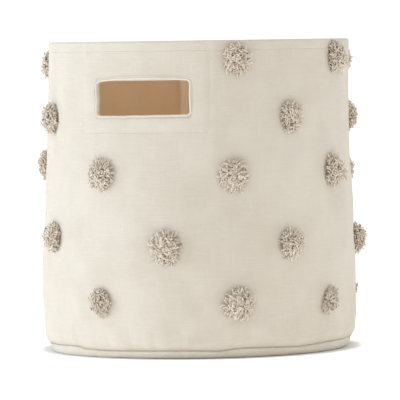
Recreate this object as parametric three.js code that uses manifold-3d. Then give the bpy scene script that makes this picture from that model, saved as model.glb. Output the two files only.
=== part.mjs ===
// A round canvas storage bin with hand-tied yarn tufts.
//
// The wall is a sandwich of heavy outer canvas, soft foam and thin lining. The outer canvas turns
// over the rim as a hem and is sewn to a round base panel just above the floor. Two hand openings
// face each other, each with a facing behind it and a bound edge. The base holds a board and a pad.
//
// Millimetres, +Z up. The origin is on the floor, on the bin's axis. The front hand opening faces -Y.
// Angles are in degrees round the axis, from the front opening towards +X.

import * as THREE from "three";
import { mergeVertices } from "three/addons/utils/BufferGeometryUtils.js";
import Module from "manifold-3d";

const wasm = await Module();
wasm.setup();

// ---------- Driving dimensions ----------

const HEIGHT = 406; // floor to rim
const RIM_RADIUS = 198.5; // outside of the canvas at the rim
const FOOT_RADIUS = 206.5; // outside of the canvas where the wall starts to turn in to the base
const SEGMENTS = 60; // flat facets in a full turn
const GAP = 0.3; // clearance between two layers that lie on each other

const CANVAS = 1.0; // thickness of the outer canvas, and of the base panel
const FOAM = 3.0; // thickness of the wall's foam
const LINING = 0.8; // thickness of the lining, and of the facings

const HEM_DEPTH = 16; // how far the canvas reaches down inside the rim
const HEM_STITCH_DROP = 13; // the row of stitching round the rim, below it
const RIM_ROUND = 2.5; // outside rounding of the rim's fold

const FOOT_ROUND = 18; // rounding of the wall's bottom edge
const SEAM_INSET = 7.5; // how far the base seam lies inside the foot radius
const SEAM_HEIGHT = 10.3; // top of the base panel at the seam
const SEAM_ALLOWANCE = 12; // cloth turned inwards past the base seam

const BOARD = 2.5; // thickness of the base board
const BOARD_INSET = 19; // the board's edge inside the foot radius
const PAD_INSET = 15; // the pad's edge inside the foot radius

const OPENING_WIDTH = 124; // clear hand opening, straight across
const OPENING_HEIGHT = 43; // clear hand opening at its ends
const OPENING_ARCH = 3; // extra height at the middle of its top edge
const OPENING_DROP = 94.5; // lower edge of the opening, below the rim
const OPENING_CORNER = 4;
const BINDING = 1.2; // thickness of the cloth that binds the opening's edge
const BINDING_LIP = 2.6; // how far the binding laps onto the canvas and onto the facing
const OPENING_STITCH = 4; // the row of stitching round the opening, outside its clear edge

const FACING_WIDTH = 186; // straight across
const FACING_DROP = 121; // lower edge of the facing, below the rim
const FACING_TOP = 4; // upper edge of the facing, below the rim and inside the hem
const FACING_STITCH = 3.5; // the row of stitching, inside the facing's edge

const THREAD = 0.6;

const TUFT_RADIUS = 20.5;
const TUFT_HEIGHT = 15.5;
const TUFT_FOOT = 6; // radius of the tied middle, which sits on the canvas
const TUFT_EDGE = 17; // radius of the pile's underside, where its ends turn up
const TUFT_LIFT = 2; // how far that edge stands off the canvas, over any stitching
const TUFT_TOP_DROP = 26; // middle of the top row, below the rim
const TUFT_BOTTOM_RISE = 69; // middle of the bottom row, above the floor
// The tufts are tied on by eye. Each row, from the top, lists its tufts as an angle round the bin and
// how far the tuft sits above its row. Odd rows stand over the gaps of even rows, and the two top rows
// leave out the places beside the hand openings.
const TUFT_ROWS = [
  [[37.1, 1], [84.7, 3], [131, -2], [229, 1], [278.5, -3]],
  [[58.7, 5], [124, 0], [215.5, 2], [264, 4], [310.8, 5]],
  [[35.2, 8.5], [80.9, 11], [131, 8], [180, 5], [229, 9], [283.5, 20], [343.6, 11.5]],
  [[10.1, -4], [57.1, -3], [112.3, -4], [167, -2], [215.5, -6], [264, -3], [315.8, 5]],
  [[36.1, 1], [75.3, 0], [131, 1], [180, -1], [229, 2], [270, 18], [344.3, 3.5]],
];

// ---------- Places worked out from them ----------

const RIGHT_ANGLE = Math.PI / 2;
const footCentre = { r: FOOT_RADIUS - FOOT_ROUND, z: 0 };
const seamRadius = FOOT_RADIUS - SEAM_INSET;
const seamTurn = Math.acos((seamRadius - footCentre.r) / FOOT_ROUND);
const allowanceTip = seamRadius - SEAM_ALLOWANCE;
const allowanceBottom = SEAM_HEIGHT + GAP;
const allowanceTop = allowanceBottom + CANVAS;
footCentre.z = allowanceBottom + FOOT_ROUND * Math.sin(seamTurn);
const wallSlope = (FOOT_RADIUS - RIM_RADIUS) / (HEIGHT - footCentre.z);

// Depths below the canvas's outer face, through the wall.
const foamOuter = CANVAS + GAP;
const foamInner = foamOuter + FOAM;
const liningOuter = foamInner + GAP;
const liningInner = liningOuter + LINING;
const facingOuter = liningInner + GAP;
const facingInner = facingOuter + LINING;
const hemOuter = facingInner + GAP;
const hemInner = hemOuter + CANVAS;

const baseLiningBottom = allowanceTop + GAP;
const baseLiningTop = baseLiningBottom + LINING;
const openingBottom = HEIGHT - OPENING_DROP;
const openingTop = openingBottom + OPENING_HEIGHT;

// Radius of the canvas's outer face at a height above the turned-in foot.
function wallRadius(z) {
  return FOOT_RADIUS - wallSlope * (z - footCentre.z);
}

// ---------- Solids ----------

function solidOf(geometry) {
  geometry.deleteAttribute("normal");
  geometry.deleteAttribute("uv");
  const merged = mergeVertices(geometry, 1e-4);
  return new wasm.Manifold(
    new wasm.Mesh({
      numProp: 3,
      vertProperties: new Float32Array(merged.attributes.position.array),
      triVerts: new Uint32Array(merged.index.array),
    }),
  );
}

function geometryOf(solid) {
  const mesh = solid.getMesh();
  const geometry = new THREE.BufferGeometry();
  geometry.setAttribute("position", new THREE.BufferAttribute(mesh.vertProperties, 3));
  geometry.setIndex(new THREE.BufferAttribute(mesh.triVerts, 1));
  geometry.computeVertexNormals();
  return geometry;
}

// A solid of revolution about Z. The profile lists [radius, height] with the material on its left.
function turned(profile, segments = SEGMENTS) {
  const points = profile.map(([r, z]) => new THREE.Vector2(r, z));
  const closed = profile[0][0] > 0 || profile.at(-1)[0] > 0;
  if (closed) points.push(points[0].clone());
  return new THREE.LatheGeometry(points, segments).rotateX(RIGHT_ANGLE);
}

// Points along an arc in a profile. Angles are in radians above the outward direction.
function arc(r, z, radius, from, to, steps) {
  const points = [];
  for (let i = 0; i <= steps; i += 1) {
    const angle = from + ((to - from) * i) / steps;
    points.push([r + radius * Math.cos(angle), z + radius * Math.sin(angle)]);
  }
  return points;
}

// A ring that follows the wall, between two depths below the canvas's outer face.
function wallRing(depthOut, depthIn, bottom, top) {
  return turned([
    [wallRadius(bottom) - depthIn, bottom],
    [wallRadius(bottom) - depthOut, bottom],
    [wallRadius(top) - depthOut, top],
    [wallRadius(top) - depthIn, top],
  ]);
}

// A block through the front wall along Y, with the outline of the hand opening grown by a margin.
function openingBlock(margin) {
  const half = OPENING_WIDTH / 2 + margin;
  const corner = OPENING_CORNER + Math.max(margin, 0);
  const bottom = openingBottom - margin;
  const top = openingTop + margin;
  const outline = new THREE.Shape();
  outline.moveTo(-half + corner, bottom);
  outline.lineTo(half - corner, bottom);
  outline.absarc(half - corner, bottom + corner, corner, -RIGHT_ANGLE, 0, false);
  outline.lineTo(half, top - corner);
  outline.absarc(half - corner, top - corner, corner, 0, RIGHT_ANGLE, false);
  outline.quadraticCurveTo(0, top + 2 * OPENING_ARCH, -half + corner, top);
  outline.absarc(-half + corner, top - corner, corner, RIGHT_ANGLE, Math.PI, false);
  outline.lineTo(-half, bottom + corner);
  outline.absarc(-half + corner, bottom + corner, corner, Math.PI, 3 * RIGHT_ANGLE, false);
  return blockThroughFront(outline);
}

function rectangle(halfWidth, bottom, top) {
  const outline = new THREE.Shape();
  outline.moveTo(-halfWidth, bottom);
  outline.lineTo(halfWidth, bottom);
  outline.lineTo(halfWidth, top);
  outline.lineTo(-halfWidth, top);
  return outline;
}

// Extrudes an outline drawn in X and Z from the bin's axis out past the front of the wall.
function blockThroughFront(outline) {
  const depth = FOOT_RADIUS + TUFT_HEIGHT;
  const geometry = new THREE.ExtrudeGeometry(outline, {
    depth,
    bevelEnabled: false,
    curveSegments: 4,
  });
  return solidOf(geometry.rotateX(RIGHT_ANGLE));
}

// ---------- The pieces ----------

function outerCanvas(openings) {
  const rim = wallRadius(HEIGHT - RIM_ROUND);
  const fold = RIM_ROUND - CANVAS;
  const hemBottom = HEIGHT - HEM_DEPTH;
  const profile = [
    [allowanceTip, allowanceBottom],
    ...arc(footCentre.r, footCentre.z, FOOT_ROUND, -seamTurn, 0, 5),
    ...arc(rim - RIM_ROUND, HEIGHT - RIM_ROUND, RIM_ROUND, 0, RIGHT_ANGLE, 2),
    ...arc(rim - hemInner + RIM_ROUND, HEIGHT - RIM_ROUND, RIM_ROUND, RIGHT_ANGLE, Math.PI, 2),
    [wallRadius(hemBottom) - hemInner, hemBottom],
    [wallRadius(hemBottom) - hemOuter, hemBottom],
    ...arc(rim - hemInner + RIM_ROUND, HEIGHT - RIM_ROUND, fold, Math.PI, RIGHT_ANGLE, 2),
    ...arc(rim - RIM_ROUND, HEIGHT - RIM_ROUND, fold, RIGHT_ANGLE, 0, 2),
    ...arc(footCentre.r, footCentre.z, FOOT_ROUND - CANVAS, 0, -seamTurn, 5),
    [allowanceTip, allowanceTop],
  ];
  return openings.reduce((solid, cut) => solid.subtract(cut), solidOf(turned(profile)));
}

// A layer inside the wall, with both openings cut through it.
function wallLayer(depthOut, depthIn, bottom, openings) {
  const top = HEIGHT - CANVAS - GAP - RIM_ROUND;
  const ring = solidOf(wallRing(depthOut, depthIn, bottom, top));
  return openings.reduce((solid, cut) => solid.subtract(cut), ring);
}

// The lowest height at which a layer this deep clears the inside of the wall's turned-in foot: where the
// layer's outer face, which widens downwards as the wall does, meets the arc inside the canvas.
function footClearance(depth) {
  const reach = FOOT_RADIUS - depth - footCentre.r;
  const inside = FOOT_ROUND - CANVAS - GAP;
  const square = 1 + wallSlope * wallSlope;
  const root = Math.sqrt(Math.max(square * inside * inside - reach * reach, 0));
  return footCentre.z - (root - wallSlope * reach) / square;
}

function handleFacing() {
  const top = HEIGHT - FACING_TOP;
  const bottom = HEIGHT - FACING_DROP;
  const ring = solidOf(wallRing(facingOuter, facingInner, bottom, top));
  const panel = ring.intersect(blockThroughFront(rectangle(FACING_WIDTH / 2, bottom - 1, top + 1)));
  return panel.subtract(openingBlock(BINDING + GAP));
}

// Cloth folded round the cut edge: a collar through the wall with a lip on the canvas and on the facing.
function handleBinding() {
  const bottom = openingBottom - OPENING_STITCH;
  const top = openingTop + OPENING_ARCH + OPENING_STITCH;
  const whole = solidOf(wallRing(-GAP - BINDING, facingInner + GAP + BINDING, bottom, top));
  const layers = solidOf(wallRing(-GAP, facingInner + GAP, bottom - 1, top + 1));
  const lipped = whole.intersect(openingBlock(BINDING_LIP));
  const aroundCollar = layers.subtract(openingBlock(BINDING));
  return lipped.subtract(aroundCollar).subtract(openingBlock(0));
}

// A row of stitching that follows the wall's outer face, between two blocks through the front.
function stitchRow(outer, inner, bottom, top) {
  const skin = solidOf(wallRing(-GAP - THREAD, -GAP, bottom, top));
  return skin.intersect(outer).subtract(inner);
}

function openingStitching() {
  const inner = openingBlock(OPENING_STITCH);
  const outer = openingBlock(OPENING_STITCH + THREAD);
  const margin = OPENING_STITCH + THREAD + 1;
  return stitchRow(outer, inner, openingBottom - margin, openingTop + OPENING_ARCH + margin);
}

// A U of stitching round the facing's sides and lower edge, which starts just under the rim's own row.
function facingStitching() {
  const top = HEIGHT - HEM_STITCH_DROP - GAP - THREAD;
  const bottom = HEIGHT - FACING_DROP + FACING_STITCH;
  const half = FACING_WIDTH / 2 - FACING_STITCH;
  const outer = blockThroughFront(rectangle(half + THREAD, bottom - THREAD, top));
  const inner = blockThroughFront(rectangle(half, bottom, top + 1));
  return stitchRow(outer, inner, bottom - THREAD - 1, top);
}

function hemStitching() {
  const middle = HEIGHT - HEM_STITCH_DROP;
  return solidOf(wallRing(-GAP - THREAD, -GAP, middle - THREAD / 2, middle + THREAD / 2));
}

// A shallow dish: flat underneath, rolled up at its edge, with its allowance turned inwards at the seam.
function basePanel() {
  const centre = seamRadius - SEAM_HEIGHT;
  const allowance = SEAM_HEIGHT - CANVAS;
  const inner = SEAM_HEIGHT - CANVAS;
  const turn = Math.asin(CANVAS / inner);
  return turned([
    [0, 0],
    ...arc(centre, SEAM_HEIGHT, SEAM_HEIGHT, -RIGHT_ANGLE, 0, 4),
    [allowanceTip, SEAM_HEIGHT],
    [allowanceTip, allowance],
    ...arc(centre, SEAM_HEIGHT, inner, -turn, -RIGHT_ANGLE, 4),
    [0, CANVAS],
  ]);
}

function baseBoard() {
  const bottom = CANVAS + GAP;
  const radius = FOOT_RADIUS - BOARD_INSET;
  return turned([
    [0, bottom],
    [radius, bottom],
    [radius, bottom + BOARD],
    [0, bottom + BOARD],
  ]);
}

// The pad is squeezed thinner round its edge, where it lies under the seam allowances.
function basePad() {
  const bottom = CANVAS + GAP + BOARD + GAP;
  const edge = SEAM_HEIGHT - CANVAS - GAP;
  const step = allowanceTip - GAP;
  const radius = FOOT_RADIUS - PAD_INSET;
  return turned([
    [0, bottom],
    [radius, bottom],
    [radius, edge],
    [step, edge],
    [step, allowanceTop],
    [0, allowanceTop],
  ]);
}

function baseLining() {
  const drop = footCentre.z - baseLiningBottom;
  const radius = footCentre.r + Math.sqrt((FOOT_ROUND - CANVAS) ** 2 - drop ** 2);
  const edge = radius - 2 * GAP;
  return turned([
    [0, baseLiningBottom],
    [edge, baseLiningBottom],
    [edge, baseLiningTop],
    [0, baseLiningTop],
  ]);
}

// A tuft of yarn, drawn with its tied foot on the origin and its pile standing along +Z.
function tuft() {
  return turned(
    [
      [0, 0],
      [TUFT_FOOT, 0],
      [TUFT_EDGE, TUFT_LIFT],
      [TUFT_RADIUS, TUFT_HEIGHT * 0.4],
      [TUFT_RADIUS * 0.75, TUFT_HEIGHT * 0.83],
      [0, TUFT_HEIGHT],
    ],
    12,
  );
}

// ---------- Materials ----------

function finish(colour, roughness) {
  return new THREE.MeshStandardMaterial({ color: colour, roughness, metalness: 0 });
}

const canvas = finish(0xe4dccb, 0.95);
const foam = finish(0xf2f2ee, 0.9);
const lining = finish(0xcfae84, 0.85);
const binding = finish(0xf3e8d4, 0.9);
const board = finish(0x9a7f5e, 0.9);
const thread = finish(0xd8cdb8, 0.7);
const yarn = finish(0xb9ab95, 1.0);

// ---------- The assembly ----------

const bin = new THREE.Group();

function add(name, geometry, material, parent = bin) {
  const mesh = new THREE.Mesh(geometry, material);
  mesh.name = name;
  parent.add(mesh);
  return mesh;
}

const cutBlock = openingBlock(BINDING + GAP);
const backCutBlock = cutBlock.rotate([0, 0, 180]);
const openings = [cutBlock, backCutBlock];
const foamBottom = Math.max(footClearance(foamOuter), baseLiningTop + GAP);
const liningBottom = Math.max(footClearance(liningOuter), baseLiningTop + GAP);

add("outer_canvas", geometryOf(outerCanvas(openings)), canvas);
add("wall_foam", geometryOf(wallLayer(foamOuter, foamInner, foamBottom, openings)), foam);
add("wall_lining", geometryOf(wallLayer(liningOuter, liningInner, liningBottom, openings)), lining);
add("hem_stitching", geometryOf(hemStitching()), thread);
add("base_canvas", basePanel(), canvas);
add("base_board", baseBoard(), board);
add("base_pad", basePad(), foam);
add("base_lining", baseLining(), lining);

const facingGeometry = geometryOf(handleFacing());
const bindingGeometry = geometryOf(handleBinding());
const facingStitchGeometry = geometryOf(facingStitching());
const openingStitchGeometry = geometryOf(openingStitching());
const sides = [
  { side: "front", turn: 0 },
  { side: "back", turn: 180 },
];
for (const { side, turn } of sides) {
  const handle = new THREE.Group();
  handle.rotation.z = THREE.MathUtils.degToRad(turn);
  bin.add(handle);
  add(`${side}_handle_facing`, facingGeometry, lining, handle);
  add(`${side}_handle_binding`, bindingGeometry, binding, handle);
  add(`${side}_facing_stitching`, facingStitchGeometry, thread, handle);
  add(`${side}_opening_stitching`, openingStitchGeometry, thread, handle);
}

const tuftGeometry = tuft();
const lean = Math.atan(wallSlope);
const tuftPitch = (HEIGHT - TUFT_TOP_DROP - TUFT_BOTTOM_RISE) / (TUFT_ROWS.length - 1);

TUFT_ROWS.forEach((row, i) => {
  row.forEach(([angle, rise], j) => {
    const z = HEIGHT - TUFT_TOP_DROP - tuftPitch * i + rise;
    const place = new THREE.Group();
    place.rotation.z = THREE.MathUtils.degToRad(angle);
    bin.add(place);
    const mesh = add(`tuft_row${i + 1}_${j + 1}`, tuftGeometry, yarn, place);
    mesh.position.set(0, -wallRadius(z) - GAP, z);
    mesh.rotation.x = RIGHT_ANGLE - lean;
  });
});

export default bin;
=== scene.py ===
import math
import random

import bmesh
import bpy
from mathutils import Matrix, Vector, noise


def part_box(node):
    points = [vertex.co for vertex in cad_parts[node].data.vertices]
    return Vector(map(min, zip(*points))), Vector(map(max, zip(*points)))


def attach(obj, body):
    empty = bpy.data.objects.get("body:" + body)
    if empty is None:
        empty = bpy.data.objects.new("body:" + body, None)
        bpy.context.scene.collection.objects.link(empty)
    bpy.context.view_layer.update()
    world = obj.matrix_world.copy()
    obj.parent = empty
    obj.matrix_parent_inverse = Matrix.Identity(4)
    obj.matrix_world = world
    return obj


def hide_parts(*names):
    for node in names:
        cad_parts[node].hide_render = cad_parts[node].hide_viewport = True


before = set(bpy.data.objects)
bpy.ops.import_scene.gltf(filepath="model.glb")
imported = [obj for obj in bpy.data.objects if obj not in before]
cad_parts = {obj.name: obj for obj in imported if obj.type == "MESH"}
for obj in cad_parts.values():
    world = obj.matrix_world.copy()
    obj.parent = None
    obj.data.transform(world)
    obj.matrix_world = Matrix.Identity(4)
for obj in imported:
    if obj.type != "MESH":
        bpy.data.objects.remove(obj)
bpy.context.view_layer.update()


# ---- Outer canvas ----
# One panel of heavy cream cotton canvas, rolled into a tube and joined in one upright seam. It is
# turned over the rim as a hem, drawn in at the foot and turned inwards where the base is sewn on.

quarter = math.pi / 2
rim_height = 0.406
rim_radius = 0.1985
spread = 0.0074  # how much wider the bin is low down than at its rim
rim_lean = 0.003  # how far the rim stands to one side of the foot
lean_turn = math.radians(112)
canvas_thickness = 0.001
hem_depth = 0.016
hem_stitch_height = rim_height - 0.013
wall_thickness = 0.0078  # from the canvas's face to the hem's face inside the rim
rim_round = 0.0025
foot_round = 0.018
foot_height = 0.0252  # where the wall starts to turn in
seam_height = 0.0106
seam_turn = math.asin((foot_height - seam_height) / foot_round)
opening_half_width = 0.063
opening_low = 0.3115
opening_high = 0.3545
facing_half_width = 0.0895
facing_stitch_height = 0.2885
side_seam = math.radians(246)
wall_middle = 0.2  # the wall's radius, nearly enough for lengths along it
turned_in = 0.1875  # where the canvas's edge ends, turned in under the base
ridge_place = 0.0985  # along the wall from the front opening's middle
bulge_turn = math.radians(-68)
tucks = [math.radians(-29), math.radians(30), math.radians(118)]
# The base seam was eased in by hand, so it wanders: degrees round the bin, and millimetres above true.
seam_drift = [
    (-180, 0.6), (-150, -0.8), (-110, -0.6), (-68, -2.2), (-48, 0.6), (-31, 2.0), (-27, -0.3), (-16, -1.2),
    (0, -0.2), (16, 0.4), (29, -0.6), (38, 2.2), (62, 0.6), (82, 2.8), (97, 3.4), (125, 1.2), (150, -0.6),
    (180, 0.6),
]
cut_columns = 18.5  # degrees each side of an opening's middle
cut_low = 0.3102
cut_high = 0.3558


def eased(share):
    share = min(max(share, 0.0), 1.0)
    return share * share * (3 - 2 * share)


def round_angle(spot):
    """The angle round the bin, from the front opening towards +X."""
    return math.atan2(spot.x, -spot.y)


def turn_between(a, b):
    return (a - b + math.pi) % math.tau - math.pi


def from_middle(angle):
    """How far round the wall a spot lies from the middle of the nearer hand opening."""
    return abs(turn_between(2 * angle, 0)) / 2 * rim_radius


def waist(height):
    """The wall's radius before any unevenness: straight near the rim, wider towards the foot."""
    return rim_radius + spread * (1 - eased((height - 0.09) / 0.22))


def sway(angle, height):
    """How far the soft wall stands out from a true round."""
    around = Vector((math.sin(angle), -math.cos(angle), height * 4.2))
    broad = noise.noise(around * 1.3 + Vector((3.1, 0, 7.7)))
    buckles = noise.noise(around * 3.4 + Vector((0, 5.3, 1.9)))
    hand = noise.noise(around * 8.5 + Vector((8.8, 2.1, 0)))
    uneven = 0.0017 * broad + 0.0014 * buckles + 0.0006 * hand
    uneven *= eased((height - seam_height) / 0.05)
    # The facings stiffen the wall: it lies flatter there, with a soft ridge beside the front one.
    share = from_middle(angle) / facing_half_width
    flat = math.cos(min(share, 2.0) * quarter) * eased((2.0 - share) / 0.7)
    flat *= eased((height - facing_stitch_height + 0.02) / 0.03)
    ridge = max(1 - abs(turn_between(angle, 0) * rim_radius - ridge_place) / 0.03, 0)
    ridge *= eased((height - 0.18) / 0.08)
    bulge = math.exp(-((turn_between(angle, bulge_turn) / 0.45) ** 2))
    bulge *= eased((height - 0.02) / 0.05) * eased((rim_height - height) / 0.12)
    tipped = rim_lean * math.cos(angle - lean_turn) * eased(height / rim_height)
    return uneven + 0.0026 * bulge + 0.0018 * ridge - 0.0020 * flat + tipped


def face_radius(angle, height):
    return waist(height) + sway(angle, height)


tufts = {}
for node in sorted(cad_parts):
    if node.startswith("tuft_"):
        low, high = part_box(node)
        middle = (low + high) / 2
        tufts[node] = (round_angle(middle), middle.z)


def from_opening(angle, height):
    """How far a spot on the wall lies outside the nearer hand opening."""
    beside = max(from_middle(angle) - opening_half_width, 0)
    above = max(opening_low - height, height - opening_high, 0)
    return math.hypot(beside, above)


def pinch(angle, height):
    """How much thinner the wall gets at a hand opening, where no foam lies between its layers."""
    return 0.0036 * (1 - eased((from_opening(angle, height) - 0.002) / 0.008))


def seam_wave(angle):
    """How far the base seam wanders up and down."""
    turn = math.degrees(turn_between(angle, 0))
    for (start, low), (stop, high) in zip(seam_drift, seam_drift[1:]):
        if turn <= stop:
            break
    return 0.001 * (low + (high - low) * eased((turn - start) / (stop - start)))


def foot_drift(angle, height):
    """How far cloth low on the wall is carried up or down by the seam."""
    return seam_wave(angle) * eased((0.04 - height) / 0.028)


def gather(angle):
    """The small upright folds along the base seam."""
    around = Vector((math.sin(angle), -math.cos(angle), 0)) * 11
    folds = noise.noise(around + Vector((0, 0, 4.4))) + 0.6 * noise.noise(around * 2.3)
    for tuck in tucks:
        folds -= 0.8 * math.exp(-((turn_between(angle, tuck) / 0.016) ** 2))
    return folds


def canvas_relief(angle, height):
    """Puckers, seam ridges and the pull of the stitches and the tufts on the canvas's face."""
    lift = -0.0009 * (1 - eased(from_opening(angle, height) / 0.007))
    for turned in (0.0, math.pi):
        across = turn_between(angle, turned) * rim_radius
        beside = (abs(across) - facing_half_width) / 0.003
        under = (facing_stitch_height - height) / 0.003
        lift += 0.00055 * eased(0.5 - beside / 2) * eased(0.5 - under / 2)
        if height > facing_stitch_height - 0.003:
            lift -= 0.0008 * math.exp(-((abs(across) - facing_half_width) / 0.0022) ** 2)
        if abs(across) < facing_half_width + 0.002:
            lift -= 0.0008 * math.exp(-((height - facing_stitch_height) / 0.0022) ** 2)
    lift += 0.0003 * eased((height - hem_stitch_height + 0.004) / 0.005)
    lift -= 0.0004 * math.exp(-((height - hem_stitch_height) / 0.0014) ** 2)
    seam_across = turn_between(angle, side_seam) * rim_radius
    lift += 0.0009 * eased((0.0065 - abs(seam_across)) / 0.0022)
    around = Vector((math.sin(angle), -math.cos(angle), 0)) * 12
    lift += 0.0020 * gather(angle) * math.exp(-(((height - 0.016) / 0.017) ** 2))
    slump = noise.noise(around * 0.5 + Vector((height * 14, 3.3, height * 22)))
    lift += 0.0024 * slump * math.exp(-(((height - 0.035) / 0.035) ** 2))
    ripple = noise.noise(around + Vector((0, 0, height * 30)))
    lift += 0.0005 * ripple * math.exp(-(((height - rim_height) / 0.03) ** 2))
    for tuft_turn, row_height in tufts.values():
        gap = math.hypot(turn_between(angle, tuft_turn) * wall_middle, height - row_height)
        if gap < 0.05:
            lift -= 0.0016 * math.exp(-((gap / 0.015) ** 2))
    return lift


def chain(points):
    """A row of joined vertices, given as radius, height and the length along the cloth, ready to spin."""
    bm = bmesh.new()
    along = bm.verts.layers.float.new("along")
    last = None
    turn = math.radians(0.5)
    for radius, height, length in points:
        vert = bm.verts.new((radius * math.sin(turn), -radius * math.cos(turn), height))
        vert[along] = length
        if last:
            bm.edges.new((last, vert))
        last = vert
    return bm


def measured(points):
    """Adds to each point of a profile its length along the cloth."""
    length = 0.0
    out = []
    for i, (radius, height) in enumerate(points):
        if i:
            length += math.hypot(radius - points[i - 1][0], height - points[i - 1][1])
        out.append((radius, height, length))
    return out


def roll_up(points, columns, facing_out):
    """Spins a profile into cloth all round the bin, with its faces towards one side."""
    bm = chain(measured(points))
    bmesh.ops.spin(
        bm, geom=bm.verts[:] + bm.edges[:], cent=(0, 0, 0), axis=(0, 0, 1), angle=math.tau,
        steps=columns, use_merge=True,
    )
    bmesh.ops.remove_doubles(bm, verts=bm.verts, dist=1e-6)
    widest = max(bm.faces, key=lambda face: face.calc_center_median().xy.length)
    outwards = widest.normal.xy.dot(widest.calc_center_median().xy) > 0
    if outwards != facing_out:
        bmesh.ops.reverse_faces(bm, faces=bm.faces)
    return bm


def cut_openings(bm, columns=cut_columns, low=cut_low, high=cut_high):
    """Takes out the cloth at both hand openings."""
    cut = []
    for face in bm.faces:
        middle = face.calc_center_median()
        beside = math.degrees(abs(turn_between(2 * round_angle(middle), 0))) / 2
        if beside < columns and low < middle.z < high:
            cut.append(face)
    bmesh.ops.delete(bm, geom=cut, context="FACES")


def lay_weave(bm, flat=False):
    """Gives the cloth its warp and weft: lengths in metres across and along it."""
    along = bm.verts.layers.float.get("along")
    weave = bm.loops.layers.uv.new("weave")
    for face in bm.faces:
        turns = [round_angle(loop.vert.co) for loop in face.loops]
        wraps = max(turns) - min(turns) > math.pi
        for loop, turn in zip(face.loops, turns):
            if flat:
                loop[weave].uv = loop.vert.co.xy
            else:
                turn += math.tau if wraps and turn < 0 else 0
                loop[weave].uv = (turn * wall_middle, loop.vert[along])


pulled_turn = math.radians(0.95)


def pull_end(bm):
    """Shifts every layer at one end of the front opening, where the cloth was pulled in sewing."""
    for vert in bm.verts:
        beside = abs(math.degrees(round_angle(vert.co)) - 18) / 13
        above = abs(vert.co.z - 0.343) / 0.075
        if beside < 1 and above < 1:
            pull = pulled_turn * eased((1 - beside) * 2) * eased((1 - above) * 2)
            vert.co = Matrix.Rotation(pull, 3, "Z") @ vert.co


def made_of(bm, name, finish):
    """Turns finished mesh work into a piece of the bin."""
    pull_end(bm)
    mesh = bpy.data.meshes.new(name)
    bm.to_mesh(mesh)
    bm.free()
    mesh.shade_smooth()
    mesh.materials.append(finish)
    piece = bpy.data.objects.new(name, mesh)
    bpy.context.scene.collection.objects.link(piece)
    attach(piece, "root")
    return piece


def thicken(piece, thickness):
    """Gives a single sheet its cloth thickness, behind its face."""
    body = piece.modifiers.new("cloth thickness", "SOLIDIFY")
    body.thickness = thickness
    body.offset = -1


class Amount:
    """One value in a finish. Sums, products and so on of amounts add the nodes that work them out."""

    def __init__(self, finish, socket):
        self.finish = finish
        self.socket = socket

    def worked(self, operation, *values):
        return self.finish.node("ShaderNodeMath", {"operation": operation}, dict(enumerate(values)))

    def __add__(self, other):
        return self.worked("ADD", self, other)

    def __radd__(self, other):
        return self.worked("ADD", other, self)

    def __sub__(self, other):
        return self.worked("SUBTRACT", self, other)

    def __rsub__(self, other):
        return self.worked("SUBTRACT", other, self)

    def __mul__(self, other):
        return self.worked("MULTIPLY", self, other)

    def __rmul__(self, other):
        return self.worked("MULTIPLY", other, self)

    def __abs__(self):
        return self.worked("ABSOLUTE", self)

    def sine(self):
        return self.worked("SINE", self)

    def between(self, low, high):
        """0 below low, 1 above high and eased in between."""
        inputs = {"Value": self, "From Min": low, "From Max": high}
        return self.finish.node("ShaderNodeMapRange", {"interpolation_type": "SMOOTHSTEP"}, inputs)


class Finish:
    """A material made of nodes."""

    def __init__(self, name):
        self.material = bpy.data.materials.new(name)
        self.material.use_nodes = True
        self.nodes = self.material.node_tree.nodes
        self.links = self.material.node_tree.links
        self.surface = self.nodes["Principled BSDF"]

    def node(self, kind, settings=None, inputs=None, output=0):
        made = self.nodes.new(kind)
        for key, value in (settings or {}).items():
            setattr(made, key, value)
        self.fill(made, inputs or {})
        return Amount(self, made.outputs[output])

    def fill(self, made, inputs):
        for key, value in inputs.items():
            if isinstance(value, Amount):
                self.links.new(value.socket, made.inputs[key])
            else:
                made.inputs[key].default_value = value

    def set(self, **inputs):
        named = {}
        for key, value in inputs.items():
            named[key.replace("_", " ").title().replace("Ior", "IOR")] = value
        self.fill(self.surface, named)

    def place(self):
        """Where a point of the piece is, in metres."""
        return self.node("ShaderNodeTexCoord", None, None, 3)

    def speckle(self, place, scale, detail=2.0, roughness=0.5):
        inputs = {"Vector": place, "Scale": scale, "Detail": detail, "Roughness": roughness}
        return self.node("ShaderNodeTexNoise", None, inputs)

    def mix(self, share, a, b):
        return self.node("ShaderNodeMix", {"data_type": "RGBA"}, {0: share, 6: a, 7: b}, 2)

    def raised(self, height, distance):
        return self.node("ShaderNodeBump", None, {"Height": height, "Distance": distance, "Strength": 1.0})


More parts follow.
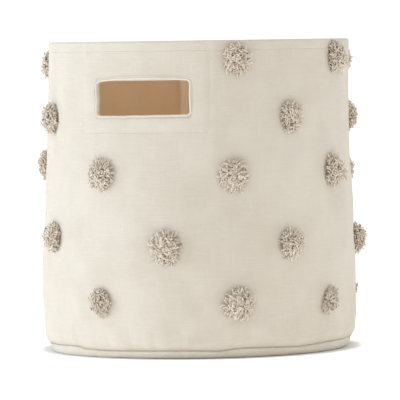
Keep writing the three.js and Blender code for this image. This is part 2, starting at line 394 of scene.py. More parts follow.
def woven(name, colour, thread_colour, shade_colour, pitch, relief, sheen, slubs=1.0):
    """Plain-weave cotton: threads over and under each other, painted shade where they dip, slubs, and a
    mottled, faintly worn tone.
    """
    finish = Finish(name)
    cloth = finish.node("ShaderNodeUVMap", {"uv_map": "weave"})
    across = finish.node("ShaderNodeSeparateXYZ", None, {0: cloth}, 0)
    along = Amount(finish, across.socket.node.outputs[1])
    place = finish.place()
    warp = (across * (math.pi / pitch)).sine()
    weft = (along * (math.pi / pitch)).sine()
    over = (warp * weft * 2.2 + 0.5).between(0.0, 1.0)
    threads = over * abs(warp) + (1 - over) * abs(weft)
    thick_weft = finish.speckle(
        finish.node("ShaderNodeCombineXYZ", None, {0: across * 32, 1: along * (0.55 / pitch)}), 1.0
    )
    thick_warp = finish.speckle(
        finish.node("ShaderNodeCombineXYZ", None, {0: across * (0.55 / pitch), 1: along * 32}), 1.0
    )
    slub = thick_weft.between(0.5, 0.78) * 0.6 + thick_warp.between(0.52, 0.8) * 0.4
    thin = 1 - (thick_weft * 0.5 + thick_warp * 0.5).between(0.3, 0.5)
    mottle = finish.speckle(place, 26.0, 3.0, 0.6)
    cloud = finish.speckle(place, 6.0, 2.0, 0.5)
    fleck = finish.speckle(place, 330.0, 1.0, 0.5).between(0.70, 0.76)
    base = finish.mix((mottle * 0.7 + cloud * 0.6).between(0.48, 0.84), colour, shade_colour)
    base = finish.mix(slub * 0.72 * slubs, base, thread_colour)
    base = finish.mix(thin * 0.5 * slubs, base, shade_colour)
    # Painted shade where the threads dip under each other, in the weave's hollows.
    base = finish.mix((1 - threads) * 0.10, base, shade_colour)
    base = finish.mix(fleck * 0.16, base, (0.40, 0.31, 0.20, 1))
    height = threads * 0.55 + slub * 0.6 * slubs + mottle * 0.25
    finish.set(
        base_color=base,
        roughness=0.94 - slub * 0.1,
        sheen_weight=sheen,
        sheen_roughness=0.45,
        specular_ior_level=0.18,
        normal=finish.raised(height, relief),
    )
    finish.surface.inputs["Sheen Tint"].default_value = (1.0, 0.98, 0.94, 1)
    return finish.material


def spaced(start, stop, steps):
    return [start + (stop - start) * i / steps for i in range(1, steps + 1)]


def bend(radius, height, size, start, stop, steps):
    """Points round a fold in the profile, with angles in radians above the outward direction."""
    turns = [start] + spaced(start, stop, steps)
    return [(radius + size * math.cos(t), height + size * math.sin(t)) for t in turns]


canvas_finish = woven(
    "cream canvas", (0.748, 0.685, 0.582, 1), (0.790, 0.732, 0.637, 1), (0.695, 0.629, 0.522, 1),
    pitch=0.00105, relief=0.0003, sheen=0.2,
)

fold_height = rim_height - rim_round
heights = [0.401, 0.3985, 0.396, 0.3945, 0.393, 0.3915, 0.39, 0.3875]
heights += spaced(0.3875, cut_high, 8) + spaced(cut_high, cut_low, 11)
heights += spaced(cut_low, facing_stitch_height, 5) + spaced(facing_stitch_height, foot_height, 58)
canvas_profile = [
    (waist(rim_height) - wall_thickness, rim_height - hem_depth + i * 0.0034) for i in range(4)
]
canvas_profile += bend(rim_radius - wall_thickness + rim_round, fold_height, rim_round, math.pi, quarter, 4)
canvas_profile += bend(rim_radius - rim_round, fold_height, rim_round, quarter, 0, 4)
canvas_profile += [(waist(z), z) for z in heights]
canvas_profile += bend(waist(foot_height) - foot_round, foot_height, foot_round, 0, -seam_turn, 8)[1:]
canvas_profile += [(0.1955, seam_height), (0.1915, seam_height), (turned_in, seam_height)]

canvas = roll_up(canvas_profile, 360, facing_out=True)
cut_openings(canvas)
lay_weave(canvas)
for vert in canvas.verts:
    angle = round_angle(vert.co)
    radius = vert.co.xy.length
    outer = radius > waist(vert.co.z) - 0.0026 or vert.co.z < foot_height
    lift = sway(angle, vert.co.z)
    if outer:
        lift += canvas_relief(angle, vert.co.z) * eased((radius - 0.1915) / 0.006)
    vert.co.xy *= (radius + lift) / radius
    vert.co.z += foot_drift(angle, vert.co.z) * eased((radius - turned_in) / 0.008)
outer_canvas = made_of(canvas, "outer_canvas_cloth", canvas_finish)
thicken(outer_canvas, canvas_thickness)
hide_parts("outer_canvas")


# ---- Wall foam ----
# A sheet of soft foam between the canvas and the lining. It keeps the wall upright, and stops short of
# the hand openings, where the binding closes the layers over its edge.

foam_depth = 0.0013
foam_thickness = 0.003

foam_finish = Finish("wall foam")
cells = foam_finish.node("ShaderNodeTexVoronoi", None, {"Vector": foam_finish.place(), "Scale": 900.0})
foam_finish.set(
    base_color=foam_finish.mix(cells.between(0.0, 0.7), (0.86, 0.86, 0.83, 1), (0.74, 0.74, 0.71, 1)),
    roughness=0.95,
    normal=foam_finish.raised(cells, 0.0004),
)


def layer_radius(height, depth):
    """A layer this deep in the wall. It keeps inside the canvas where the canvas turns in at the foot."""
    if height >= foot_height:
        return waist(height) - depth
    reach = foot_round - depth
    drop = foot_height - height
    return waist(foot_height) - foot_round + math.sqrt(reach * reach - drop * drop)


foam_heights = [0.4015] + spaced(0.4015, 0.365, 6) + spaced(0.365, 0.301, 8)
foam_heights += spaced(0.301, foot_height, 30) + spaced(foot_height, 0.0155, 3)
foam = roll_up([(layer_radius(z, foam_depth), z) for z in foam_heights], 120, facing_out=True)
cut_openings(foam, columns=21, low=0.301, high=0.365)
for vert in foam.verts:
    radius = vert.co.xy.length
    angle = round_angle(vert.co)
    dent = min(canvas_relief(angle, vert.co.z) + 0.0009, 0)
    vert.co.xy *= (radius + sway(angle, vert.co.z) + dent - 0.0003) / radius
    vert.co.z += foot_drift(angle, vert.co.z)
wall_foam = made_of(foam, "wall_foam_sheet", foam_finish.material)
thicken(wall_foam, foam_thickness)
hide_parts("wall_foam")


# ---- Wall lining ----
# A thin tan cotton lining that hangs inside the foam. Its upper edge is caught under the hem, its lower
# edge meets the base lining, and it creases a little because it is slightly larger than the wall.

lining_depth = 0.0046
lining_thickness = 0.0008

lining_finish = woven(
    "tan lining", (0.90, 0.665, 0.41, 1), (0.93, 0.715, 0.48, 1), (0.85, 0.61, 0.37, 1),
    pitch=0.0008, relief=0.00025, sheen=0.12, slubs=0.6,
)


def lining_crease(angle, height):
    """How far the lining's loose creases stand in from the wall."""
    around = Vector((math.sin(angle), -math.cos(angle), height * 1.6))
    upright = noise.noise(around * 9 + Vector((1.7, 0, 0)))
    slant = noise.noise(around * 4 + Vector((0, 9.2, height * 9)))
    held = eased((height - 0.013) / 0.03) * eased((0.392 - height) / 0.03)
    near = min(abs(turn_between(2 * angle, 0)) / 2 * wall_middle, 0.2)
    held *= eased((near - 0.095) / 0.04) if height > 0.27 else 1.0
    return held * (0.0009 * abs(upright) + 0.0008 * max(slant, 0.0))


lining_heights = [0.4005] + spaced(0.4005, cut_high, 8) + spaced(cut_high, cut_low, 8)
lining_heights += spaced(cut_low, foot_height, 44) + spaced(foot_height, 0.0142, 4)
lining_face = lining_depth + lining_thickness
lining = roll_up([(layer_radius(z, lining_face), z) for z in lining_heights], 360, facing_out=False)
cut_openings(lining)
lay_weave(lining)
for vert in lining.verts:
    radius = vert.co.xy.length
    angle = round_angle(vert.co)
    lift = sway(angle, vert.co.z) - lining_crease(angle, vert.co.z) + pinch(angle, vert.co.z) * 0.9
    lift += min(canvas_relief(angle, vert.co.z) + 0.0009, 0)
    vert.co.xy *= (radius + lift) / radius
    vert.co.z += foot_drift(angle, vert.co.z)
wall_lining = made_of(lining, "wall_lining_cloth", lining_finish)
thicken(wall_lining, lining_thickness)
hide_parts("wall_lining")


# ---- Handle facings ----
# A panel of tan cloth, coloured paler than the lining, behind each hand opening. Its edges are folded
# under and stitched through the whole wall, which shows outside as a stitched rectangle.

facing_depth = 0.0057
facing_low = rim_height - 0.121
facing_high = rim_height - 0.004
facing_reach = 0.098
facing_hole = 0.0634  # half the width cut out of it

facing_finish = woven(
    "facing cloth", (0.97, 0.81, 0.59, 1), (0.98, 0.84, 0.64, 1), (0.93, 0.75, 0.52, 1),
    pitch=0.0009, relief=0.00015, sheen=0.2,
)

for side, node in ((0.0, "front_handle_facing"), (math.pi, "back_handle_facing")):
    panel = bmesh.new()
    bmesh.ops.create_grid(panel, x_segments=1, y_segments=1, size=1)
    for vert in panel.verts:
        vert.co.x *= facing_reach
        vert.co.z = facing_high if vert.co.y > 0 else facing_low
        vert.co.y = 0
    cuts = [((x, 0, 0), (1, 0, 0)) for x in (-facing_hole, facing_hole)]
    cuts += [((0, 0, z), (0, 0, 1)) for z in (cut_low, cut_high)]
    for place, facing in cuts:
        bmesh.ops.bisect_plane(
            panel, geom=panel.verts[:] + panel.edges[:] + panel.faces[:], plane_co=place, plane_no=facing
        )
    hole = [
        f for f in panel.faces
        if abs(f.calc_center_median().x) < 0.06 and cut_low < f.calc_center_median().z < cut_high
    ]
    bmesh.ops.delete(panel, geom=hole, context="FACES")
    for limit in (0.016, 0.008, 0.004):
        long_edges = [e for e in panel.edges if e.calc_length() > limit]
        bmesh.ops.subdivide_edges(panel, edges=long_edges, cuts=1, use_grid_fill=True)
    bmesh.ops.recalc_face_normals(panel, faces=panel.faces)
    if sum(f.normal.y for f in panel.faces) < 0:
        bmesh.ops.reverse_faces(panel, faces=panel.faces)
    weave = panel.loops.layers.uv.new("weave")
    for face in panel.faces:
        for loop in face.loops:
            loop[weave].uv = loop.vert.co.xz
    for vert in panel.verts:
        x, z = vert.co.x, vert.co.z
        edge = min(facing_reach - abs(x), z - facing_low)
        puff = 0.0007 * eased(1 - abs(edge - 0.0025) / 0.0035) + 0.0005 * noise.noise(vert.co * 40)
        angle = math.asin(x / waist(z)) + side
        radius = face_radius(angle, z) - facing_depth - lining_thickness - max(puff, 0) + pinch(angle, z)
        vert.co = (radius * math.sin(angle), -radius * math.cos(angle), z)
    facing = made_of(panel, node + "_panel", facing_finish)
    thicken(facing, lining_thickness)
    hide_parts(node)


# ---- Handle bindings ----
# A strip of cream cotton folded round each opening's cut edge. It is pulled tight through the wall and
# rolls over into a soft lip on the canvas and another on the facing.

opening_middle = (opening_low + opening_high) / 2
opening_half_height = (opening_high - opening_low) / 2
corner = 0.004
arch = 0.003
binding_thickness = 0.001
binding_finish = woven(
    "opening binding", (0.80, 0.74, 0.635, 1), (0.84, 0.79, 0.70, 1), (0.73, 0.67, 0.56, 1),
    pitch=0.0008, relief=0.0002, sheen=0.3, slubs=0.5,
)
# The binding's profile: outwards from the opening's edge, and inwards from the canvas's face.
lip = [
    (0.0027, -0.0001), (0.0027, -0.0008), (0.0022, -0.0014), (0.0014, -0.00165), (0.0006, -0.0013),
    (0.0001, -0.0005), (0.0, 0.0004), (0.0, 0.0013), (0.0, 0.0022), (0.0, 0.0031),
    (0.0001, 0.0038), (0.0006, 0.0046), (0.0014, 0.0050), (0.0022, 0.0047), (0.0027, 0.0041),
    (0.0027, 0.0035),
]


def opening_point(x, z, margin):
    """A point of the opening's edge moved outwards, with the top arched and a hand's unevenness."""
    above = z - opening_middle
    out = Vector((
        math.copysign(max(abs(x) - opening_half_width + corner, 0), x),
        math.copysign(max(abs(above) - opening_half_height + corner, 0), above),
    )).normalized() * margin
    share = x / opening_half_width
    kink = 0.0013 * math.exp(-(((above + 0.001) / 0.005) ** 2)) * eased(-share * 4 - 2.8)
    pull = 0.0009 * (1 - (above / opening_half_height) ** 2) * eased(share * 4 - 2.8)
    rise = arch * (1 - share * share) * eased((z - opening_low) / (2 * opening_half_height))
    slope = 0.0006 * share
    uneven = 0.0004 * noise.noise(Vector((x * 55, z * 55, 2.2)))
    return x + out.x + kink - pull + uneven, z + out.y + rise + slope + uneven


def from_sill(face):
    """How far a face lies from the middle of the opening's lower edge, within the wall."""
    middle = face.calc_center_median()
    return abs(middle.z - opening_low) + abs(middle.xy.length - rim_radius + 0.004) + abs(middle.x)


for side, node in ((0.0, "front_handle_binding"), (math.pi, "back_handle_binding")):
    strip = bmesh.new()
    bmesh.ops.create_grid(strip, x_segments=1, y_segments=1, size=1)
    for vert in strip.verts:
        vert.co.x *= opening_half_width
        vert.co.z = opening_high if vert.co.y > 0 else opening_low
        vert.co.y = 0
    bmesh.ops.bevel(
        strip, geom=strip.verts[:], offset=corner, offset_type="OFFSET", affect="VERTICES",
        segments=5, profile=0.5, material=-1,
    )
    bmesh.ops.delete(strip, geom=strip.faces[:], context="FACES_ONLY")
    bmesh.ops.subdivide_edges(strip, edges=[e for e in strip.edges if e.calc_length() > 0.08], cuts=47)
    bmesh.ops.subdivide_edges(strip, edges=[e for e in strip.edges if e.calc_length() > 0.02], cuts=14)
    along = strip.verts.layers.float.new("along")
    start = strip.verts.layers.float_vector.new("start")
    for vert in strip.verts:
        vert[start] = vert.co
    edges = strip.edges[:]
    rows = [strip.verts[:]]
    for _ in lip[1:]:
        grown = bmesh.ops.extrude_edge_only(strip, edges=edges)["geom"]
        edges = [g for g in grown if isinstance(g, bmesh.types.BMEdge)]
        edges = [e for e in edges if all(v in grown for v in e.verts)]
        rows.append([g for g in grown if isinstance(g, bmesh.types.BMVert)])
    length = 0.0
    for i, (margin, depth) in enumerate(lip):
        if i:
            length += math.dist(lip[i], lip[i - 1])
        for vert in rows[i]:
            x, z = opening_point(vert[start].x, vert[start].z, margin)
            plump = 1 + 0.25 * noise.noise(Vector((x * 60, z * 60, side)))
            angle = math.asin(x / waist(z)) + side
            radius = face_radius(angle, z) - (depth * plump if depth < 0 else depth) - 0.0006
            vert.co = (radius * math.sin(angle), -radius * math.cos(angle), z)
            vert[along] = length
    bmesh.ops.recalc_face_normals(strip, faces=strip.faces)
    if min(strip.faces, key=from_sill).normal.z < 0:
        bmesh.ops.reverse_faces(strip, faces=strip.faces)
    weave = strip.loops.layers.uv.new("weave")
    for face in strip.faces:
        for loop in face.loops:
            begin = loop.vert[start]
            loop[weave].uv = (begin.x + begin.z, loop.vert[along])
    binding = made_of(strip, node + "_strip", binding_finish)
    thicken(binding, binding_thickness)
    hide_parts(node)


# ---- Stitching ----
# Rows of cream cotton lockstitch: round the hem, round each facing in a U, round each hand opening and
# down both sides of the upright seam. Every stitch shows outside; all but the upright seam's show again
# where they come through inside.

stitch_pitch = 0.0036
stitch_length = 0.0029
thread_radius = 0.00032
stitch_margin = 0.0043  # from an opening's edge to its stitches
facing_face = facing_depth + lining_thickness

thread_finish = Finish("sewing thread")
thread_ply = thread_finish.speckle(thread_finish.place(), 1400.0, 2.0, 0.6)
thread_finish.set(
    base_color=thread_finish.mix(
        thread_ply.between(0.3, 0.7), (0.61, 0.54, 0.43, 1), (0.71, 0.645, 0.54, 1)
    ),
    roughness=0.75,
    sheen_weight=0.2,
    normal=thread_finish.raised(thread_ply, 0.00015),
)


def wall_spot(across, height, depth):
    """A place on the wall, given along it from the front opening's middle, its height and its depth."""
    angle = across / rim_radius
    radius = face_radius(angle, height) - depth
    radius += canvas_relief(angle, height) if depth < 0.002 else pinch(angle, height)
    return Vector((radius * math.sin(angle), -radius * math.cos(angle), height))


def sew(bm, corners, depth, outwards):
    """Lays one stitch after another along straight runs between the corners."""
    for (a, low), (b, high) in zip(corners, corners[1:]):
        run = math.hypot(b - a, high - low)
        count = max(round(run / stitch_pitch), 1)
        for i in range(count):
            ends = []
            for share in ((i + 0.1) / count, (i + 0.9) / count):
                ends.append(wall_spot(a + (b - a) * share, low + (high - low) * share, depth))
            middle = (ends[0] + ends[1]) / 2
            line = (ends[1] - ends[0]).normalized()
            out = Vector((middle.x, middle.y, 0)).normalized() * outwards
            side = out.cross(line).normalized()
            frame_of = Matrix((side, line.cross(side), line)).transposed().to_4x4()
            frame_of.translation = middle + out * thread_radius * 0.35
            made = bmesh.ops.create_cone(
                bm, cap_ends=True, segments=6, radius1=thread_radius * 0.55, radius2=thread_radius * 0.55,
                depth=stitch_length, matrix=frame_of,
            )["verts"]
            sides = {e for v in made for e in v.link_edges}
            sides = [e for e in sides if abs((e.verts[0].co - e.verts[1].co).normalized().dot(line)) > 0.9]
            split = bmesh.ops.subdivide_edges(bm, edges=sides, cuts=2)["geom_inner"]
            for vert in (g for g in split if isinstance(g, bmesh.types.BMVert)):
                on_line = middle + line * (vert.co - middle).dot(line) + out * thread_radius * 0.35
                vert.co = on_line + (vert.co - on_line) * 1.8 + out * thread_radius * 0.25


def stitched(name, rows, *nodes):
    """Sews rows of stitches as one piece."""
    bm = bmesh.new()
    for corners, depth, outwards in rows:
        sew(bm, corners, depth, outwards)
    bmesh.ops.recalc_face_normals(bm, faces=bm.faces)
    piece = made_of(bm, name, thread_finish.material)
    if nodes:
        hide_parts(*nodes)
    return piece


half_round = math.pi * rim_radius
hem_row = [(-half_round + half_round * i / 8, hem_stitch_height) for i in range(17)]
stitched("hem_stitches", [(hem_row, 0, 1), (hem_row, wall_thickness, -1)], "hem_stitching")
for side, word in ((0.0, "front"), (half_round, "back")):
    under_hem = hem_stitch_height - 0.002
    u_row = [
        (side - facing_half_width, under_hem), (side - facing_half_width, facing_stitch_height),
        (side + facing_half_width, facing_stitch_height), (side + facing_half_width, under_hem),
    ]
    inside_row = [(a, min(z, rim_height - hem_depth - 0.001)) for a, z in u_row]
    stitched(
        word + "_facing_stitches", [(u_row, 0, 1), (inside_row, facing_face + 0.0004, -1)],
        word + "_facing_stitching",
    )
    ring = []
    for x, z in (
        (-1, -0.6), (-1, 0), (-1, 0.6), (-0.94, 1), (-0.5, 1), (0, 1), (0.5, 1), (0.94, 1),
        (1, 0.6), (1, 0), (1, -0.6), (0.94, -1), (0.5, -1), (0, -1), (-0.5, -1), (-0.94, -1), (-1, -0.6),
    ):
        x_out, z_out = opening_point(x * opening_half_width, opening_middle + z * opening_half_height, 0.0)
        beside = math.copysign(stitch_margin, x) * (abs(x) > 0.9)
        above = math.copysign(stitch_margin, z) * (abs(z) > 0.9)
        ring.append((side + math.asin(x_out / rim_radius) * rim_radius + beside, z_out + above))
    stitched(
        word + "_opening_stitches", [(ring, 0, 1), (ring, facing_face, -1)],
        word + "_opening_stitching",
    )
seam_rows = []
for aside in (-0.0042, 0.0042):
    place = side_seam * rim_radius + aside
    seam_rows.append(([(place, hem_stitch_height - 0.002), (place, 0.03)], 0, 1))
stitched("side_seam_stitches", seam_rows)


# ---- Base ----
# A round panel of the same canvas under a stiff board and a thin pad. Its edge rolls up to the seam,
# where wall and base are sewn right sides together, so a shallow puckered band shows all round.

base_radius = 0.1990
seam_radius = base_radius + 0.0001
# The seam's thread is coloured dark brown: partly the real thread, partly painted shadow in the crevice
# where wall and base meet.
seam_shadow_thread = Finish("seam thread with painted shadow")
seam_shadow_ply = seam_shadow_thread.speckle(seam_shadow_thread.place(), 900.0, 2.0, 0.6)
seam_shadow_thread.set(
    base_color=seam_shadow_thread.mix(seam_shadow_ply.between(0.3, 0.7), (0.46, 0.34, 0.23, 1), (0.66, 0.53, 0.40, 1)),
    roughness=0.85,
    normal=seam_shadow_thread.raised(seam_shadow_ply, 0.0002),
)

base_roll = seam_height - 0.0003
base_flat = base_radius - base_roll
base_profile = [(base_flat * r / 14, 0.0) for r in range(15)]
base_profile += bend(base_flat, base_roll, base_roll, -quarter, 0, 8)[1:]
base_profile += [(base_radius - inset, base_roll) for inset in (0.0035, 0.0075, 0.0115)]

base = roll_up(base_profile, 240, facing_out=True)
lay_weave(base, flat=True)
for vert in base.verts:
    angle = round_angle(vert.co)
    radius = vert.co.xy.length
    if radius > 0.17:
        rolled = eased(vert.co.z / 0.008) * eased((radius - turned_in) / 0.008)
        square = 0.001 + 0.006 * math.exp(-(((angle + 0.75) / 0.5) ** 2))
        square *= eased((radius - 0.17) / 0.016) * (1 - vert.co.z / base_roll) ** 2
        lift = (canvas_relief(angle, seam_height) - 0.0004) * rolled + square
        vert.co.xy *= (radius + lift) / radius
        vert.co.z += seam_wave(angle) * rolled
# The base's canvas is coloured a little lighter than the wall's: painted light on the band low down, where
# the floor lights it.
base_finish = woven(
    "base canvas", (0.77, 0.71, 0.60, 1), (0.81, 0.76, 0.66, 1), (0.72, 0.66, 0.55, 1),
    pitch=0.00105, relief=0.00022, sheen=0.2,
)
base_canvas = made_of(base, "base_canvas_cloth", base_finish)
thicken(base_canvas, canvas_thickness)
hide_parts("base_canvas")

# A dark thread ring along the base seam: partly real thread, partly painted shadow of the seam's crevice.
seam_thread = roll_up(bend(seam_radius, seam_height, 0.0006, 0, math.tau, 6), 720, facing_out=True)
for vert in seam_thread.verts:
    angle = round_angle(vert.co)
    radius = vert.co.xy.length
    coil = 0.0003 * math.sin(angle * 330)
    vert.co.xy *= (radius + canvas_relief(angle, seam_height) + coil) / radius
    vert.co.z += seam_wave(angle)
made_of(seam_thread, "base_seam_thread_with_shadow", seam_shadow_thread.material)

board_finish = Finish("base board")
fibres = board_finish.speckle(board_finish.place(), 700.0, 4.0, 0.7)
board_finish.set(
    base_color=board_finish.mix(fibres.between(0.3, 0.75), (0.30, 0.21, 0.12, 1), (0.42, 0.31, 0.19, 1)),
    roughness=0.8,
    normal=board_finish.raised(fibres, 0.0002),
)
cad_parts["base_board"].data.materials.clear()
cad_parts["base_board"].data.materials.append(board_finish.material)

pad = bmesh.new()
bmesh.ops.create_circle(pad, cap_ends=True, cap_tris=False, segments=96, radius=0.1855)
bmesh.ops.translate(pad, verts=pad.verts, vec=(0, 0, 0.0044))
raised = bmesh.ops.extrude_face_region(pad, geom=pad.faces[:])["geom"]
top = [g for g in raised if isinstance(g, bmesh.types.BMVert)]
bmesh.ops.translate(pad, verts=top, vec=(0, 0, 0.0066))
bmesh.ops.recalc_face_normals(pad, faces=pad.faces)
rims = [e for e in pad.edges if abs(e.verts[0].co.z - e.verts[1].co.z) < 1e-6]
bmesh.ops.bevel(
    pad, geom=rims, offset=0.0024, offset_type="OFFSET", affect="EDGES", segments=3, profile=0.5,
    material=-1,
)
flats = [f for f in pad.faces if len(f.verts) > 20]
bmesh.ops.poke(pad, faces=flats)
base_pad = made_of(pad, "base_pad_foam", foam_finish.material)
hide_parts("base_pad")

bottom_radius = 0.197
bottom = roll_up([(bottom_radius * r / 40, 0.0127) for r in range(41)], 180, facing_out=True)
if sum(f.normal.z for f in bottom.faces) < 0:
    bmesh.ops.reverse_faces(bottom, faces=bottom.faces)
lay_weave(bottom, flat=True)
for vert in bottom.verts:
    radius = vert.co.xy.length
    wrinkle = 0.0012 * abs(noise.noise(vert.co * 16))
    wrinkle += 0.0006 * abs(noise.noise(vert.co * 38 + Vector((4, 4, 4))))
    crown = 0.0012 * (1 - (radius / bottom_radius) ** 2)
    vert.co.z += (wrinkle * eased(radius / 0.05) + crown) * eased((bottom_radius - radius) / 0.02)
    vert.co.z += max(seam_wave(round_angle(vert.co)), 0) * eased((radius - 0.180) / 0.012)
base_lining = made_of(bottom, "base_lining_cloth", lining_finish)
thicken(base_lining, lining_thickness)
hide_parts("base_lining")


# ---- Yarn tufts ----
# Shaggy half pompoms of cream cotton yarn, in staggered rows. Each is a bundle of short lengths tied at
# the middle and knotted through the canvas, so its cut ends stand out in a dense, tangled dome.

tuft_radius = 0.0205
tuft_height = 0.0155
strand_count = 340
strand_steps = 5
strand_sides = 6
yarn_twist = 0.0042  # length along the yarn in which its plies turn once

yarn_finish = Finish("cream yarn")
strand_tone = yarn_finish.node("ShaderNodeAttribute", {"attribute_name": "tone"}, None, 2)
strand_reach = yarn_finish.node("ShaderNodeAttribute", {"attribute_name": "reach"}, None, 2)
ply = yarn_finish.node("ShaderNodeAttribute", {"attribute_name": "ply"}, None, 1)
ply_cosine = yarn_finish.node("ShaderNodeSeparateXYZ", None, {0: ply}, 0)
ply_sine = Amount(yarn_finish, ply_cosine.socket.node.outputs[1])
turned = Amount(yarn_finish, ply_cosine.socket.node.outputs[2]) * (math.tau / yarn_twist)
ridge = ply_sine * (turned + quarter).sine() + ply_cosine * turned.sine()
fibre = yarn_finish.speckle(yarn_finish.place(), 1600.0, 3.0, 0.7)
yarn_colour = yarn_finish.mix(strand_tone, (0.62, 0.53, 0.42, 1), (0.86, 0.80, 0.70, 1))
# Painted shade deep in the tuft: each strand darkens to brown towards its tie, where its reach is low.
yarn_colour = yarn_finish.mix((1 - strand_reach) * 0.9, yarn_colour, (0.44, 0.29, 0.18, 1))
# Painted shade in the grooves between the yarn's twisted plies.
yarn_colour = yarn_finish.mix((0.5 - ridge * 0.5) * 0.2, yarn_colour, (0.62, 0.49, 0.36, 1))
yarn_colour = yarn_finish.mix(fibre.between(0.4, 0.75) * 0.3, yarn_colour, (0.84, 0.79, 0.70, 1))
yarn_finish.set(
    base_color=yarn_colour,
    roughness=0.95,
    specular_ior_level=0.1,
    normal=yarn_finish.raised(ridge * 0.5 + fibre * 0.4, 0.00022),
)


def any_way(chance):
    return Vector((chance.gauss(0, 1), chance.gauss(0, 1), chance.gauss(0, 1)))


def strand_path(chance, direction, reach):
    """A yarn's points from the tie to its cut end, in a tuft that stands along +Z."""
    end = Vector((direction.x * tuft_radius, direction.y * tuft_radius, direction.z * tuft_height)) * reach
    end.z += 0.0016
    start = end * 0.10 + Vector((0, 0, 0.0012))
    knee = Vector((end.x * 0.5, end.y * 0.5, end.z * 0.66 + 0.002)) + any_way(chance) * 0.0018
    flop = chance.choice((0.002, 0.0045, 0.0075, 0.0105))
    aside = direction.cross(any_way(chance)).normalized() * flop
    aside -= Vector((direction.x, direction.y, 0)) * flop * 0.5
    wave = any_way(chance) * 0.0009
    points = []
    for i in range(strand_steps + 1):
        t = i / strand_steps
        point = start.lerp(knee, t).lerp(knee.lerp(end, t), t)
        point += aside * t ** 3 - direction * flop * 0.3 * t ** 4 + wave * math.sin(5.5 * t)
        point.z = max(point.z, 0.001)
        points.append(point)
    return points


def make_tuft(seed, tail):
    """One tuft of yarn standing along +Z."""
    chance = random.Random(seed)
    bm = bmesh.new()
    tone = bm.verts.layers.float.new("tone")
    reach = bm.verts.layers.float.new("reach")
    ply_layer = bm.verts.layers.float_vector.new("ply")
    number = bm.verts.layers.int.new("number")
    strands = []
    ends = []
    for i in range(strand_count):
        up = (1 - (i + 0.5) / strand_count) ** 0.8
        spin = i * 2.39996 + chance.uniform(-0.4, 0.4)
        level = math.sqrt(1 - up * up)
        direction = Vector((level * math.cos(spin), level * math.sin(spin), up))
        clump = noise.noise(direction * 1.9 + Vector((seed * 3.7, 0, 0)))
        clump += 0.5 * noise.noise(direction * 4.5 + Vector((0, seed * 5.1, 0)))
        far = 0.90 + chance.uniform(0, 0.15) + 0.22 * clump
        if tail:
            far += 0.42 * eased((direction.dot(tail) - 0.90) / 0.08)
        points = strand_path(chance, direction, far)
        thickness = chance.uniform(0.00074, 0.00096)
        line = (points[1] - points[0]).normalized()
        turn = Vector((0, 0, 1)).rotation_difference(line).to_matrix()
        place = Matrix.Translation((points[0] + points[1]) / 2) @ turn.to_4x4()
        made = bmesh.ops.create_cone(
            bm, cap_ends=True, segments=strand_sides, radius1=thickness, radius2=thickness,
            depth=(points[1] - points[0]).length, matrix=place,
        )["verts"]
        caps = {f for v in made for f in v.link_faces if len(f.verts) == strand_sides}
        end = max(caps, key=lambda f: f.calc_center_median().dot(line))
        shade = min(max(0.5 + 0.5 * clump + chance.uniform(-0.45, 0.45), 0), 1)
        begin = chance.uniform(0, yarn_twist)
        for vert in made:
            at_end = vert in end.verts[:]
            round_it = (turn.transposed() @ (vert.co - points[1 if at_end else 0])).xy
            double = 2 * math.atan2(round_it.y, round_it.x)
            vert[tone] = shade
            # Reach starts at 0 at the tie; low reach gives painted shade deep in the tuft.
            vert[reach] = 0.2 if at_end else 0.0
            vert[number] = i
            vert[ply_layer] = (math.cos(double), math.sin(double), begin + 0.003 * at_end)
        strands.append((points, line, thickness, begin + 0.003))
        ends.append(end)
    for step in range(2, strand_steps + 2):
        ends = bmesh.ops.extrude_discrete_faces(bm, faces=ends)["faces"]
        ends = sorted(ends, key=lambda face: face.verts[0][number])
        for n, (end, (points, line, thickness, length)) in enumerate(zip(ends, strands)):
            tip = step > strand_steps
            reached = min(step, strand_steps)
            here = points[reached]
            heading = (points[min(step + 1, strand_steps)] - points[reached - 1]).normalized()
            centre = end.calc_center_median()
            turn = line.rotation_difference(heading).to_matrix()
            goal = here + heading * thickness * 0.5 if tip else here
            size = 0.6 if tip else chance.uniform(0.94, 1.08)
            length += (goal - centre).length
            for vert in end.verts:
                vert.co = goal + turn @ (vert.co - centre) * size
                vert[reach] = min(step / strand_steps, 1.0)
                vert[ply_layer].z = length
            strands[n] = (points, heading, thickness, length)
    # A core fills the tuft's middle; its low tone and reach colour it dark brown, painted shade among the
    # strands' roots.
    core = bmesh.ops.create_icosphere(bm, subdivisions=3, radius=tuft_radius * 0.64)["verts"]
    for vert in core:
        vert.co *= 1 + 0.12 * noise.noise(vert.co * 260)
        vert.co.z = max(vert.co.z * tuft_height / tuft_radius, 0) + 0.0008
        vert[tone] = 0.3
        vert[reach] = 0.3
    return bm


# Most tufts are brushed round; a few have a loose end. Each is made with +X along the wall and +Y up it.
shapes = [make_tuft(11 + seed, None) for seed in range(7)]
tails = {
    "tuft_row3_2": make_tuft(41, Vector((0.95, -0.15, 0.3)).normalized()),
    "tuft_row1_2": make_tuft(42, Vector((0.85, -0.45, 0.25)).normalized()),
    "tuft_row2_4": make_tuft(43, Vector((-0.8, 0.35, 0.45)).normalized()),
}
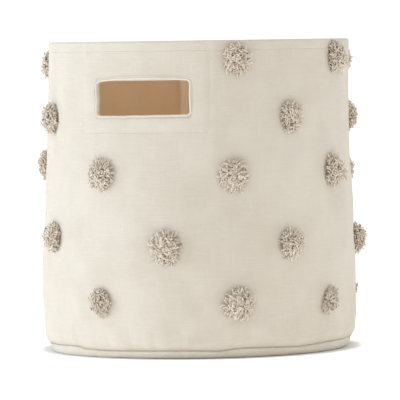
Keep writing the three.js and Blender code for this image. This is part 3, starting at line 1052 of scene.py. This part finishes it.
# Width and height against the plain shape, tilt in degrees, and taper.
usual_squeeze = (1.08, 1.14, 0, 0)
squeezes = {
    "tuft_row1_1": (1.1, 1.12, 0, 0),
    "tuft_row1_2": (0.95, 1.18, 0, 0),
    "tuft_row2_1": (0.94, 1.24, 0, 0),
    "tuft_row3_1": (1.1, 1.26, 0, 0),
    "tuft_row3_2": (1.0, 1.12, 0, 0),
    "tuft_row3_7": (1.06, 1.22, 0, 0),
    "tuft_row4_1": (1.2, 1.28, -12, 0),
    "tuft_row4_2": (1.06, 1.06, 0, 0),
    "tuft_row5_1": (1.22, 1.18, 0, 0),
    "tuft_row5_2": (0.56, 1.06, -17, 0.4),
    "tuft_row5_7": (0.9, 1.04, 6, 0),
}
for count, (node, (angle, height)) in enumerate(tufts.items()):
    if node in tails:
        tuft = tails[node]
    else:
        tuft = shapes[count % len(shapes)].copy()
        bmesh.ops.rotate(tuft, verts=tuft.verts, matrix=Matrix.Rotation(count * 2.1, 3, "Z"))
    width, tall, twist, taper = squeezes.get(node, usual_squeeze)
    for vert in tuft.verts:
        vert.co.x *= 1 - taper * vert.co.y / tuft_radius
    bmesh.ops.scale(tuft, verts=tuft.verts, vec=(width, tall, 1))
    bmesh.ops.rotate(tuft, verts=tuft.verts, matrix=Matrix.Rotation(math.radians(twist), 3, "Z"))
    radius = face_radius(angle, height) + canvas_relief(angle, height)
    out = Vector((math.sin(angle), -math.cos(angle), 0))
    across = Vector((math.cos(angle), math.sin(angle), 0))
    stand = Matrix((across, Vector((0, 0, 1)), out)).transposed().to_4x4()
    stand.translation = Vector((out.x * radius, out.y * radius, height))
    bmesh.ops.transform(tuft, matrix=stand, verts=tuft.verts)
    for vert in tuft.verts:
        beyond = vert.co.xy.length - radius
        vert.co.z -= 0.0006 * eased(beyond / tuft_height)
        turned_to = round_angle(vert.co)
        least = face_radius(turned_to, min(vert.co.z, rim_height - 0.003)) + 0.0006
        if vert.co.xy.length < least and vert.co.z < rim_height:
            vert.co.xy *= least / vert.co.xy.length
    piece = made_of(tuft, node + "_yarn", yarn_finish.material)
    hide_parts(node)


# ---- Floor, light and camera ----
# A plain white floor under even white light, with a broad soft light from the left. The camera stands
# five metres off at the height of the rim, so the bin is seen almost square on.

floor_mesh = bmesh.new()
bmesh.ops.create_grid(floor_mesh, x_segments=1, y_segments=1, size=30)
floor_data = bpy.data.meshes.new("floor")
floor_mesh.to_mesh(floor_data)
floor_mesh.free()
floor = bpy.data.objects.new("floor", floor_data)
bpy.context.scene.collection.objects.link(floor)
# It glows a little, except under the bin, and slightly less further out.
floor_finish = Finish("white floor")
away = floor_finish.node("ShaderNodeVectorMath", {"operation": "LENGTH"}, {0: floor_finish.place()}, 1)
glow = floor_finish.mix(away.between(0.203, 0.224), (0.0, 0.0, 0.0, 1), (0.56, 0.56, 0.56, 1))
glow = floor_finish.mix(away.between(0.224, 1.2), glow, (0.5, 0.5, 0.5, 1))
floor_finish.set(
    base_color=(0.93, 0.93, 0.93, 1), roughness=1.0, specular_ior_level=0.0,
    emission_color=glow, emission_strength=1.0,
)
floor_data.materials.append(floor_finish.material)

world = bpy.data.worlds.new("studio")
world.use_nodes = True
bpy.context.scene.world = world
sky = world.node_tree
air = sky.nodes["Background"]
air.inputs["Color"].default_value = (1, 1, 1, 1)
air.inputs["Strength"].default_value = 0.655
backdrop = sky.nodes.new("ShaderNodeBackground")
backdrop.inputs["Color"].default_value = (1, 1, 1, 1)
backdrop.inputs["Strength"].default_value = 1.05
seen = sky.nodes.new("ShaderNodeLightPath")
either = sky.nodes.new("ShaderNodeMixShader")
sky.links.new(seen.outputs["Is Camera Ray"], either.inputs[0])
sky.links.new(air.outputs[0], either.inputs[1])
sky.links.new(backdrop.outputs[0], either.inputs[2])
sky.links.new(either.outputs[0], sky.nodes["World Output"].inputs[0])


def soft_light(name, turn, rise, distance, size, power, colour=(1, 1, 1)):
    lamp = bpy.data.lights.new(name, "AREA")
    lamp.shape = "DISK"
    lamp.size = size
    lamp.energy = power
    lamp.color = colour
    holder = bpy.data.objects.new(name, lamp)
    bpy.context.scene.collection.objects.link(holder)
    turn, rise = math.radians(turn), math.radians(rise)
    back = Vector((math.sin(turn) * math.cos(rise), -math.cos(turn) * math.cos(rise), math.sin(rise)))
    holder.location = Vector((0, 0, 0.2)) + back * distance
    holder.rotation_euler = back.to_track_quat("Z", "Y").to_euler()


camera_turn = 22.3
camera_distance = 5.0
soft_light("key", camera_turn - 80, 4, 2.6, 1.5, 36.5, (0.72, 0.84, 1.0))
soft_light("fill", camera_turn + 108, 5, 3.0, 1.6, 8.5, (0.84, 0.89, 1.0))
soft_light("overhead", camera_turn, 89, 2.6, 2.4, 14, (1.0, 0.985, 0.95))

camera_data = bpy.data.cameras.new("camera")
camera = bpy.data.objects.new("camera", camera_data)
bpy.context.scene.collection.objects.link(camera)
camera_data.sensor_width = 36
camera_data.lens = 339.84
camera_data.clip_end = 100
turn = math.radians(camera_turn)
back = Vector((math.sin(turn), -math.cos(turn), 0))
camera.location = back * camera_distance + Vector((0, 0, rim_height))
level = Matrix((
    Vector((math.cos(turn), math.sin(turn), 0)), Vector((0, 0, 1)), back,
)).transposed().to_4x4()
tilt = Matrix.Rotation(math.radians(-2.421), 4, "X")
pan = Matrix.Rotation(math.radians(-0.020), 4, "Y")
roll = Matrix.Rotation(math.radians(-0.85), 4, "Z")
camera.matrix_world = Matrix.Translation(camera.location) @ level @ pan @ tilt @ roll
bpy.context.scene.camera = camera
bpy.context.scene.view_settings.view_transform = "Standard"
